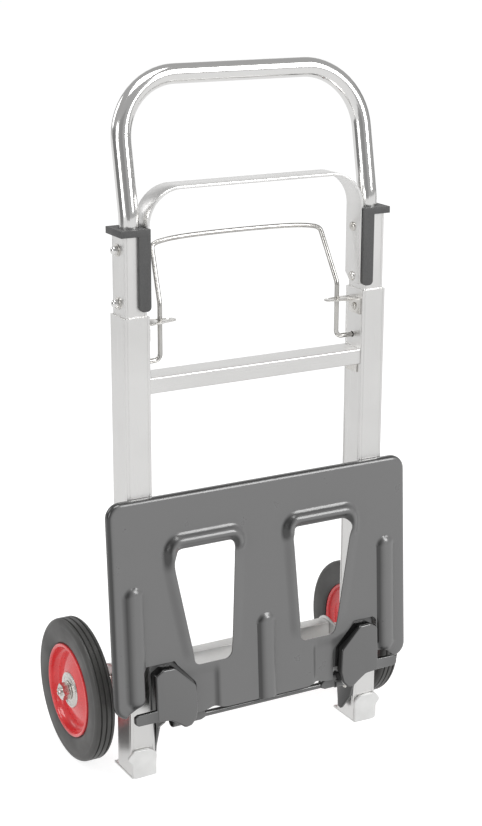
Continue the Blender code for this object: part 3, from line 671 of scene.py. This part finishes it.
def hexagon_nut(start, end, across_corners, side, depth, height, bore):
    """Six-sided nut, both ends chamfered by a double cone that is wider than the nut elsewhere."""
    hexagon = [(start, bore), (start, across_corners), (end, across_corners), (end, bore)]
    body = turned(hexagon, depth, height, side, 6)
    reach, chamfer, over = across_corners * 0.88, 0.9, 0.01
    rim = across_corners + 0.1
    clear = 9.9 + bore
    middle = (start + end) / 2
    outline = [(start - over, 0), (start - over, reach), (start + chamfer, rim), (middle, clear),
               (end - chamfer, rim), (end + over, reach), (end + over, 0)]
    cone = turned(outline, depth, height, side, 64)
    return combine(body, [cone], "INTERSECT")


def strap_bolt(word, level, side, height):
    """Button-headed bolt through strap and profile, with a washer and a dome nut outside."""
    outer = UPRIGHT_OUT - WALL - RUN
    name = word + "_" + level
    tip = outer + 3.7
    head = [(STRAP_IN - 3.0, 0), (STRAP_IN - 2.95, 2.4), (STRAP_IN - 2.3, 4.2), (STRAP_IN - 1.0, 5.3),
            (STRAP_IN - 0.1, 5.5), (STRAP_IN - 0.1, 3.0), (tip, 3.0), (tip, 0)]
    made = turned(head, BOLT_Y, height, side, 40)
    show(made, name + "_button_bolt", ZINC, "handle", "zinc", name + "_bolt")
    ring = [(outer + 0.1, 3.2), (outer + 0.1, 6.7), (outer + 0.3, 6.8), (outer + 1.0, 6.8),
            (outer + 1.2, 6.6), (outer + 1.2, 3.2)]
    washer = turned(ring, BOLT_Y, height, side, 48)
    show(washer, name + "_flat_washer", ZINC, "handle", "zinc", name + "_washer")
    base = outer + 1.3
    body = hexagon_nut(base, base + 3.6, 5.6, side, BOLT_Y, height, 3.1)
    dome = [(base + 3.3, 0), (base + 3.3, 4.6)]
    for turn in (0.35, 0.7, 1.0, 1.25, 1.45):
        dome.append((base + 3.3 + 3.5 * math.sin(turn), 4.6 * math.cos(turn)))
    dome.append((base + 6.8, 0))
    combine(body, [turned(dome, BOLT_Y, height, side, 40)], "UNION")
    show(body, name + "_dome_nut", CHROME, "handle", "chrome", name + "_nut")


# ---------------------------------------------------------------- bail
def bail():
    """The bow that joins both legs, and the legs with their corners."""
    depth = BOW_END.y
    half = [BOW_END, Vector((84.0, depth, 617.6)), Vector((54.0, depth, 619.2))]
    left = [Vector((-p.x, p.y, p.z)) for p in half]
    through = left + [Vector((0, depth, 619.8))] + list(reversed(half))
    bow = swept([at(*p) for p in eased(through)], WIRE_R, 24, round_ends=True)
    show(bow, "bail_wire_bow", WIRE, "lower_frame", "chrome", "bail_bow")
    for word, side in SIDES.items():
        line = [BOW_END, BAIL_CORNER, Vector((114.0, BAIL_Y, 553.0)),
                Vector((114.0, BAIL_Y, BAIL_PIN_Z)), Vector((UPRIGHT_IN + 1.7, BAIL_Y, BAIL_PIN_Z))]
        line = [Vector((side * p.x, p.y, p.z)) for p in line]
        bent = rounded(line, [0, 6, 18, 7, 0], 12, closed=False)
        leg = swept([at(*p) for p in bent], WIRE_R, 24, round_ends=True)
        show(leg, word + "_bail_wire_leg", WIRE, "bail_" + word, "chrome", word + "_bail_leg")


# ---------------------------------------------------------------- toe plate
def on_plate(target):
    """Lean a shape drawn on an upright plate, (x, depth, height) in metres, into the plate's place."""
    place = Matrix.Translation((0, FRONT + PLATE_BASE.y * MM, PLATE_BASE.z * MM))
    target.data.transform(place @ Matrix.Rotation(-PLATE_TILT, 4, "X"))
    return target


def rise_between(value, start, end):
    """0 below start, 1 above end, smooth between."""
    t = max(0.0, min(1.0, (value - start) / (end - start)))
    return t * t * (3 - 2 * t)


def rib_height(x, v):
    """Half-round rib with a domed top, fading into the sheet through a small fillet."""
    best, fillet = 0.0, 0.12
    for middle, low, high in RIBS:
        across = abs(x - middle) / RIB_R
        along = max(0.0, v - (high - RIB_R), (low + RIB_R) - v) / RIB_R
        reach = math.hypot(across, along)
        if reach < 1 + fillet:
            crown = math.sqrt(max(0.0, 1 - min(1.0, reach) ** 2))
            best = max(best, RIB_PROUD * crown * rise_between(1 + fillet - reach, 0, 0.16))
    return best


def bead_height(x, v):
    """Rolled bead over a window: straight along its top, wrapping down round both top corners."""
    x = abs(x)
    left, right, top, half, bend = 45.0, 108.0, 199.0, 9.5, 12.0
    if left <= x <= right:
        across = abs(v - top)
        fade = 1.0
    else:
        drop = 24.0 if x > right else 14.0
        centre = right if x > right else left
        across = abs(math.hypot(x - centre, max(0.0, v - (top - bend))) - bend)
        fade = rise_between(v, top - bend - drop, top - bend)
    share = min(1.0, across / half)
    return BEAD_PROUD * fade * (0.5 + 0.5 * math.cos(math.pi * share)) ** 0.7


def flank_height(x, v):
    """Soft swell beside the windows' slanting edges, and the bottom band's step beside the claws."""
    x = abs(x)
    if 47 <= v <= 189:
        share = (v - 47) / 142.5
        inner = 46.5 - 8.0 * share
        outer = 93.5 + 27.0 * share
        gap = max(inner - x, x - outer, 0.0)
    else:
        gap = 30.0
    swell = SWELL_PROUD * (1 - rise_between(gap, 2, 16))
    swell = swell * rise_between(v, 45, 70) * (1 - rise_between(v, 165, 195))
    step = BAND_STEP * rise_between(x, 62, 69) * (1 - rise_between(v, 30, 48))
    step = step * (1 - rise_between(x, 120, 150))
    return swell - step


def press(x, v):
    """How far the sheet stands proud at a point of the plate, millimetres."""
    return max(rib_height(x, v), bead_height(x, v)) + flank_height(x, v)


def lip_depth(x):
    """How far the bottom edge reaches down between the claws; shallower beside each band step."""
    return 11.8 - 3.2 * math.exp(-((abs(x) - 69) / 9) ** 2)


def spread(low, high, pitch):
    count = round((high - low) / pitch)
    return [low + (high - low) * k / count for k in range(count + 1)]


def stations_round(grid):
    """Border vertices of the inner grid, each with its way outwards; corners fan out in an arc."""
    last_x, last_v = len(grid) - 1, len(grid[0]) - 1
    arc = 10

    def fan(i, j, start):
        turns = [math.radians(start + 90 * k / arc) for k in range(1, arc)]
        return [(grid[i][j], Vector((math.cos(turn), math.sin(turn)))) for turn in turns]

    stations = [(grid[i][0], Vector((0, -1))) for i in range(last_x + 1)]
    stations += fan(last_x, 0, -90)
    stations += [(grid[last_x][j], Vector((1, 0))) for j in range(last_v + 1)]
    stations += fan(last_x, last_v, 0)
    stations += [(grid[i][last_v], Vector((0, 1))) for i in range(last_x, -1, -1)]
    stations += fan(0, last_v, 90)
    stations += [(grid[0][j], Vector((-1, 0))) for j in range(last_v, -1, -1)]
    stations += fan(0, 0, 180)
    return stations


def edge_rings(margin, fold, skirt):
    """Steps from the inner grid out to the folded edge: (reach outwards, depth backwards)."""
    flat = margin - fold
    rings = [(reach, 0.0) for reach in (3.0, 6.0, 9.0, flat)]
    for turn in (math.radians(15 * k) for k in range(1, 7)):
        rings.append((flat + fold * math.sin(turn), fold * (1 - math.cos(turn))))
    rings.append((margin, skirt))
    return rings


def plate_sheet():
    """The pressed front skin: a fine grid inside, then rings out to a folded edge.

    Between the claws the bottom edge isn't folded: it runs straight down as a lip.
    """
    margin, fold, skirt, pitch = 17.0, 5.0, 8.0, 2.4
    xs = spread(-PLATE_HALF + margin, PLATE_HALF - margin, pitch)
    vs = spread(margin, PLATE_HIGH - margin, pitch)
    bm = bmesh.new()

    def vertex(x, v, back):
        return bm.verts.new(Vector((x, back - press(x, v), v)) * MM)

    grid = [[vertex(x, v, 0.0) for v in vs] for x in xs]
    for i in range(len(xs) - 1):
        for j in range(len(vs) - 1):
            bm.faces.new((grid[i][j], grid[i + 1][j], grid[i + 1][j + 1], grid[i][j + 1]))

    stations = stations_round(grid)
    before = [base for base, _ in stations]
    for reach, back in edge_rings(margin, fold, skirt):
        now = []
        for base, way in stations:
            x = base.co.x / MM + way.x * reach
            plain = 1 - rise_between(abs(x), 99, 108) if way.y < -0.99 else 0.0
            stretch = 1 + plain * lip_depth(x) / margin
            v = base.co.z / MM + way.y * reach * stretch
            now.append(vertex(x, v, back * (1 - plain)))
        for k in range(len(stations)):
            n = (k + 1) % len(stations)
            corners = (before[n], before[k], now[k], now[n])
            bm.faces.new(list(dict.fromkeys(corners)))      # a corner's fan starts as triangles
        before = now
    return bm


def notch(side):
    """Where a claw stands, open at the plate's bottom edge; the outer edges differ a little."""
    if side < 0:
        outer = [(181.4, -20), (181.4, 5), (171, 10.5), (163, 15), (160.5, 19), (160.5, 54),
                 (156, 58.5)]
    else:
        outer = [(178.6, -20), (178.6, 2), (171.5, 8), (165, 13), (152.5, 14), (152.5, 54), (148, 58.5)]
    inner = [(120, 58.5), (117, 53), (92, 26), (92, -20)]
    radii = [0, 3, 3, 3, 3, 3, 3, 3, 6, 12, 0]
    return mirrored(rounded(outer + inner, radii, 5), side)


def toe_panel():
    """The pressed sheet given its thickness, with two windows and two notches for the claws."""
    bm = plate_sheet()
    bmesh.ops.remove_doubles(bm, verts=bm.verts, dist=10 * WELD)
    bmesh.ops.recalc_face_normals(bm, faces=bm.faces)
    front = max(bm.faces, key=lambda f: f.calc_area())
    if front.normal.y > 0:
        bmesh.ops.reverse_faces(bm, faces=bm.faces)
    made = placed(bm, "panel")
    sheet = made.modifiers.new("sheet", "SOLIDIFY")
    sheet.thickness = PLATE_SHEET * MM
    sheet.offset = -1
    sheet.use_even_offset = True
    apply_steps(made)
    cuts = []
    through = 0.03
    for side in SIDES.values():
        window = mirrored(rounded(WINDOW, WINDOW_RADII, 7), side)
        cuts.append(solid(prism(window, -through, through, "XZ")))
        cuts.append(solid(prism(notch(side), -through, through, "XZ")))
    combine(made, cuts, "DIFFERENCE")
    on_plate(made)
    show(made, "pressed_toe_panel", PLATE, "toe_plate", "plate_grey", "toe_panel",
         crisp=math.radians(42))


def claw_block(side):
    """The part of a claw in the plate's plane: front block, arm across the upright, flange behind."""
    face = [(149, 48), (139, 54), (124, 53.5), (98, 28), (96, 0), (99, -13), (105, -20), (113, -21.5),
            (121, -15.5), (132, -8.5), (149, -7.2)]
    face_radii = [4, 5, 6, 8, 12, 8, 6, 6, 8, 10, 3]
    outline = mirrored(rounded(face, face_radii, 5), side)
    made = soften(solid(prism(outline, -9.5 * MM, 12.5 * MM, "XZ")), 2.4, 4)
    arm_line = [(140, -7), (172, -6.6), (176, -4), (176, 4.5), (172, 6.5), (140, 7)]
    arm_outline = mirrored(rounded(arm_line, [0, 2, 3, 2, 2, 0], 4), side)
    arm = solid(prism(arm_outline, -8.9 * MM, -3.4 * MM, "XZ"))
    flange = mirrored(((76, 3), (76, 24), (112, 62), (150, 62), (150, 3)), side)
    back = solid(prism(flange, (PLATE_SHEET + 3.3) * MM, (PLATE_SHEET + 5.8) * MM, "XZ"))
    combine(made, [soften(arm, 1.2, 3), soften(back, 0.6, 2)], "UNION")
    return on_plate(made)


def claw_cheek(side):
    """Upright ear beside the upright, with its foot flared towards the middle."""
    line = [(-22, 120), (-8, 122), (6, 96), (26, 72), (34, 50), (22, 15), (15, 14), (3, 34), (-6, 60),
            (-20, 72)]
    radii = [3, 6, 8, 8, 8, 2, 2, 20, 8, 4]
    outline = [(FRONT + p.x * MM, p.y * MM) for p in rounded(line, radii, 5)]
    low, high = sorted((side * 131.8 * MM, side * (UPRIGHT_IN - 0.4) * MM))
    cheek = soften(solid(prism(outline, low, high, "YZ")), 0.7, 2)
    flare_foot, flare_top, flare = 14 * MM, 30 * MM, 5 * MM
    for corner in cheek.data.vertices:
        share = max(0.0, flare_top - corner.co.z) / (flare_top - flare_foot)
        corner.co.x -= side * flare * share ** 1.5
    return cheek


def claw_gusset(side):
    """Web from the knuckle on the rod up to the back of the plate."""
    line = [(76, 66.5), (80, 74), (93, 80), (104, 80), (104, 66), (96, 63), (84, 63)]
    outline = mirrored(rounded(line, [3, 5, 5, 0, 0, 4, 4], 4), side)
    half = 4.5
    front, back = FRONT + (ROD[0] - half) * MM, FRONT + (ROD[0] + half) * MM
    return soften(solid(prism(outline, front, back, "XZ")), 2.0, 3)


def claw(word, side):
    """Hinge claw: block, arm and flange at the plate, cheek on the pin, knuckle on the rod."""
    made = claw_block(side)
    cheek = claw_cheek(side)
    knuckle_line = [(97.5, 0), (97.5, 6.0), (98.5, 7), (121, 7), (122, 6.0), (122, 0)]
    knuckle = turned(knuckle_line, *ROD, side, 32)
    combine(made, [cheek, knuckle, claw_gusset(side)], "UNION")
    end, radius = UPRIGHT_IN + 2, 4.3
    hole = turned([(118, 0), (118, radius), (end, radius), (end, 0)], *PIVOT, side, 40)
    combine(made, [hole], "DIFFERENCE")
    show(made, word + "_hinge_claw", CLAW, "toe_plate", "black_enamel", word + "_claw",
         crisp=math.radians(38))


def claw_rod():
    made = swept([at(-97, *ROD), at(97, *ROD)], 3.6, 32)
    show(made, "cross_rod", CLAW, "toe_plate", "black_enamel", "claw_rod")


def pivot_pin(word, side):
    end = UPRIGHT_IN + WALL + 1.2
    shape = [(128, 0), (128, 5.2), (128.8, 6), (131, 6), (131.2, 5.8), (131.2, 4), (end - 0.5, 4),
             (end, 3.5), (end, 0)]
    made = turned(shape, *PIVOT, side, 48)
    show(made, word + "_hinge_pin", ZINC, "lower_frame", "zinc", word + "_pivot_pin")


# ---------------------------------------------------------------- wheels
def turned_on_axle(profile, middle, side, steps):
    """A shape turned about the axle; its profile's x is counted from a middle plane."""
    return turned([(middle + x, radius) for x, radius in profile], *AXLE, side, steps)


def tyre_profile():
    """Right-hand wall and shoulder, three tread grooves, and the same wall mirrored."""
    wall = eased([(9.3, 55.6), (11.2, 58.5), (12.1, 64), (12.5, 71), (12.2, 77.2)], 5)
    shoulder = eased([(12.35, 78.2), (12.0, 80.2), (11.0, 82.6), (9.4, 84.2), (7.6, 84.9)], 5)
    half = [(p.x, p.y) for p in wall + shoulder]
    grooves = []
    for middle in (6.2, 0.0, -6.2):
        grooves += [(middle + 1.1, 85.0), (middle + 0.75, 84.6), (middle + 0.5, 82.9),
                    (middle - 0.5, 82.9), (middle - 0.75, 84.6), (middle - 1.1, 85.0)]
    return half + grooves + [(-x, radius) for x, radius in reversed(half)]


def rim_profile():
    """Dished outside, rolled edge, and the inside surface back to the bore."""
    outside = eased([(9.2, 12), (8.7, 18), (7.6, 24), (4.6, 34), (2.2, 41), (1.4, 45), (2.6, 48.6),
                     (6.5, 50.6), (11.0, 51.6), (12.2, 52.8), (12.4, 54.2), (11.8, 55.4)], 4)
    inside = eased([(-8.0, 55.4), (-8.4, 53.6), (-7.4, 51.8), (-3.6, 50.4), (-1.6, 47), (-1.2, 43),
                    (-1.8, 34), (-4.4, 22), (-6.2, 16), (-9.0, 13)], 4)
    skin = [(p.x, p.y) for p in outside + inside]
    return [(9.3, HUB_BORE)] + skin + [(-9.0, HUB_BORE)]


def hub_profile():
    return [(9.4, HUB_BORE), (9.0, 12), (8.2, 19), (7.8, 21.3), (8.6, 21.5), (9.6, 21.0), (9.9, 19.8),
            (9.7, 18.8), (8.9, 18.0), (8.9, 16.4), (9.5, 15.2), (10.4, 13.2), (10.5, HUB_BORE)]


def wheel(word, side):
    """Tyre, pressed red rim and zinc hub disc of one wheel, as turned profiles about the axle."""
    body = word + "_wheel"
    middle = WHEEL_MIDDLE - INBOARD[word]
    tyre = turned_on_axle(tyre_profile(), middle, side, 144)
    show(tyre, word + "_tyre_tread", RUBBER, body, "rubber", word + "_tyre", crisp=math.radians(38))
    rim = turned_on_axle(rim_profile(), middle, side, 144)
    show(rim, word + "_pressed_rim", RED, body, "red_enamel", word + "_rim", crisp=math.radians(45))
    hub = turned_on_axle(hub_profile(), middle, side, 96)
    show(hub, word + "_hub_cover", ZINC, body, "zinc", word + "_hub_disc", crisp=math.radians(38))


def axle():
    """Round bar with chamfered ends, each with a fine cross cut into it."""
    depth, height = AXLE
    end = AXLE_END
    bar = [(-end, 0), (-end, 4.2), (-end + 0.8, 5), (end - 0.8, 5), (end, 4.2), (end, 0)]
    made = turned(bar, depth, height, 1, 48)
    half, long = 0.7, 8
    slots = []
    for side in SIDES.values():
        start, stop = side * (end - 1.6), side * (end + 1)
        for wide, tall in ((half, long), (long, half)):
            slots.append(solid(block((start, depth - wide, height - tall),
                                     (stop, depth + wide, height + tall))))
    combine(made, slots, "DIFFERENCE")
    show(made, "axle_bar", ZINC, "lower_frame", "zinc", "axle")


def axle_fittings(word, side):
    """Ringed spacer inside the wheel, washer and nut outside it."""
    inboard = INBOARD[word]
    start, end = 151.1, 186.2 - inboard
    coils = 8
    pitch = (end - start) / coils
    spacer = [(start, AXLE_BORE)]
    for k in range(coils):
        left = start + k * pitch
        spacer += [(left + 0.05, 7.6), (left + pitch * 0.25, 8.8), (left + pitch * 0.5, 9.0),
                   (left + pitch * 0.75, 8.8), (left + pitch - 0.05, 7.6)]
    spacer.append((end, AXLE_BORE))
    show(turned(spacer, *AXLE, side, 64), word + "_ringed_spacer", ZINC, "lower_frame", "zinc",
         word + "_spacer", crisp=math.radians(60))
    ring = [(0, AXLE_BORE), (0, 11.2), (0.2, 11.5), (1.3, 11.5), (1.6, 11.2), (1.6, AXLE_BORE)]
    washer = turned_on_axle(ring, 206.3 - inboard, side, 64)
    show(washer, word + "_axle_flat_washer", ZINC, "lower_frame", "zinc", word + "_axle_washer")
    nut = hexagon_nut(208.0 - inboard, 215.9 - inboard, 10.4, side, *AXLE, AXLE_BORE)
    show(nut, word + "_axle_hex_nut", ZINC, "lower_frame", "zinc", word + "_axle_nut")


# ---------------------------------------------------------------- feet and small frame parts
def foot(word, side):
    """Cast foot: shield in front, pad under the upright, plug inside it."""
    shield = [(136.2, 0.6), (150, 0.2), (164.5, 0.6), (166.8, 7), (167.4, 18), (171.8, 25), (168.8, 31),
              (162.0, 35.2), (147.0, 34.8), (139.5, 32.0), (135.8, 26.5), (136.4, 14), (136.2, 0.6)]
    outline = [(side * p.x * MM, max(0.0, p.y) * MM) for p in eased(shield, 4)[:-1]]
    made = soften(solid(prism(outline, FRONT - 4.4 * MM, FRONT - 0.3 * MM, "XZ")), 1.3, 4)
    under = soften(solid(block((side * 136.4, -2, 0), (side * 167.0, 46, 3.0))), 0.8)
    plug = solid(block((side * 138.4, 2.4, 1), (side * 164.1, 34.1, 24)))
    combine(made, [under, plug], "UNION")
    show(made, word + "_cast_foot", CAST, "lower_frame", "silver_cast", word + "_foot",
         crisp=math.radians(40))


def keep_node(name, finish, bevel):
    """A CAD node whose own shape is right: smooth its facets, round its edges, give it its finish."""
    node = NODES[name]
    node.data.materials.clear()
    node.data.materials.append(finish)
    node.data.shade_smooth()
    node.data.set_sharp_from_angle(angle=FACE)
    weld = node.modifiers.new("weld", "WELD")
    weld.merge_threshold = WELD
    if bevel:
        step = node.modifiers.new("rounding", "BEVEL")
        step.width = bevel * MM
        step.segments = 2
        step.limit_method = "ANGLE"
        step.angle_limit = math.radians(40)
        step.harden_normals = True


# ---------------------------------------------------------------- build
cross_tube()
handle()
strap()
bail()
toe_panel()
claw_rod()
axle()
for side_word, side_sign in SIDES.items():
    upright(side_word, side_sign)
    inner_profile(side_word, side_sign)
    cap(side_word, side_sign)
    for level_word, level_height in BOLT_LEVELS.items():
        strap_bolt(side_word, level_word, side_sign, level_height)
    claw(side_word, side_sign)
    pivot_pin(side_word, side_sign)
    wheel(side_word, side_sign)
    axle_fittings(side_word, side_sign)
    foot(side_word, side_sign)
    keep_node(side_word + "_cross_bracket", ZINC, 0.3)
    keep_node(side_word + "_axle_bracket", SILVER, 0.5)
    keep_node(side_word + "_guide_tab", ZINC, 0.3)
    keep_node(side_word + "_tab_rivet", ZINC, 0)
keep_node("axle_beam", SILVER, 0.5)


# ---------------------------------------------------------------- studio
def glowing(name, albedo, roughness, level):
    """A matt white or grey surface that also gives off an even white glow."""
    finish = new_finish(name, grey(albedo), 0.0, roughness, Specular_IOR_Level=0.0)
    shader = finish.node_tree.nodes["Principled BSDF"]
    shader.inputs["Emission Color"].default_value = (1, 1, 1, 1)
    shader.inputs["Emission Strength"].default_value = level
    return finish


def face_towards(made, place, aim):
    made.location = place
    made.rotation_mode = "QUATERNION"
    made.rotation_quaternion = (Vector(aim) - Vector(place)).to_track_quat("-Z", "Y")


def floor_disc(name, drop, albedo, level):
    bm = bmesh.new()
    bmesh.ops.create_circle(bm, cap_ends=True, radius=FLOOR_RADIUS, segments=96)
    ground = solid(bm, name)
    ground.location.z = -drop * MM
    ground.data.materials.append(glowing(name, albedo, 0.9, level))
    return ground


def studio_floor():
    """A white floor for the eye, and a greyer one just under it that the polished metal mirrors."""
    seen = floor_disc("studio_floor", 0.3, FLOOR_ALBEDO, FLOOR_GLOW)
    seen.visible_glossy = False
    seen.visible_diffuse = False
    mirrored_floor = floor_disc("mirrored_floor", 1.0, MIRRORED_ALBEDO, MIRRORED_GLOW)
    mirrored_floor.visible_camera = False


def backdrop():
    """A white dome that only the eye sees, so that the truck stands before white from every side."""
    bm = bmesh.new()
    bmesh.ops.create_uvsphere(bm, u_segments=48, v_segments=24, radius=BACKDROP_RADIUS)
    dome = solid(bm, "backdrop")
    dome.data.materials.append(glowing("backdrop", 0.0, 1.0, 1.0))
    dome.visible_glossy = False
    dome.visible_diffuse = False
    dome.visible_shadow = False
    dome.visible_transmission = False


def soft_light(name, place, aim, size, power):
    lamp = bpy.data.lights.new(name, "AREA")
    lamp.shape = "RECTANGLE"
    lamp.size, lamp.size_y = size
    lamp.energy = power
    made = bpy.data.objects.new(name, lamp)
    SCENE.collection.objects.link(made)
    face_towards(made, place, aim)
    made.visible_camera = False


def reflected_card(name, place, aim, size, level):
    """A flat panel that only reflections see, to give polished metal something to mirror."""
    bm = bmesh.new()
    bmesh.ops.create_grid(bm, x_segments=1, y_segments=1, size=0.5)
    bmesh.ops.scale(bm, vec=(size[0], size[1], 1), verts=bm.verts)
    made = solid(bm, name)
    face_towards(made, place, aim)
    made.data.materials.append(glowing(name, 0.0, 1.0, level))
    made.visible_camera = False
    made.visible_diffuse = False
    made.visible_shadow = False
    made.visible_transmission = False
    made.visible_volume_scatter = False


def studio():
    SCENE.view_settings.view_transform = "Standard"
    sky = bpy.data.worlds.new("studio_sky")
    SCENE.world = sky
    sky.use_nodes = True
    back = sky.node_tree.nodes["Background"]
    back.inputs["Color"].default_value = (1.0, 1.0, 1.0, 1)
    back.inputs["Strength"].default_value = WORLD_LEVEL
    studio_floor()
    backdrop()
    for name, (place, size, power) in LIGHTS.items():
        soft_light(name, place, TRUCK_MIDDLE, size, power)
    for name, (place, size, level) in CARDS.items():
        reflected_card(name, place, TRUCK_MIDDLE, size, level)


def camera():
    """The view of the truck in the photograph."""
    level = math.cos(CAMERA_ELEVATION)
    back = Vector((math.sin(CAMERA_AZIMUTH) * level, -math.cos(CAMERA_AZIMUTH) * level,
                   math.sin(CAMERA_ELEVATION)))
    lens = bpy.data.cameras.new("camera")
    lens.lens = CAMERA_LENS
    lens.sensor_width = CAMERA_SENSOR
    made = bpy.data.objects.new("camera", lens)
    SCENE.collection.objects.link(made)
    made.location = at(*CAMERA_AIM) + back * CAMERA_DISTANCE
    made.rotation_mode = "QUATERNION"
    tilt = Matrix.Rotation(CAMERA_ROLL, 3, "Z").to_quaternion()
    made.rotation_quaternion = (-back).to_track_quat("-Z", "Y") @ tilt
    SCENE.camera = made


studio()
camera()
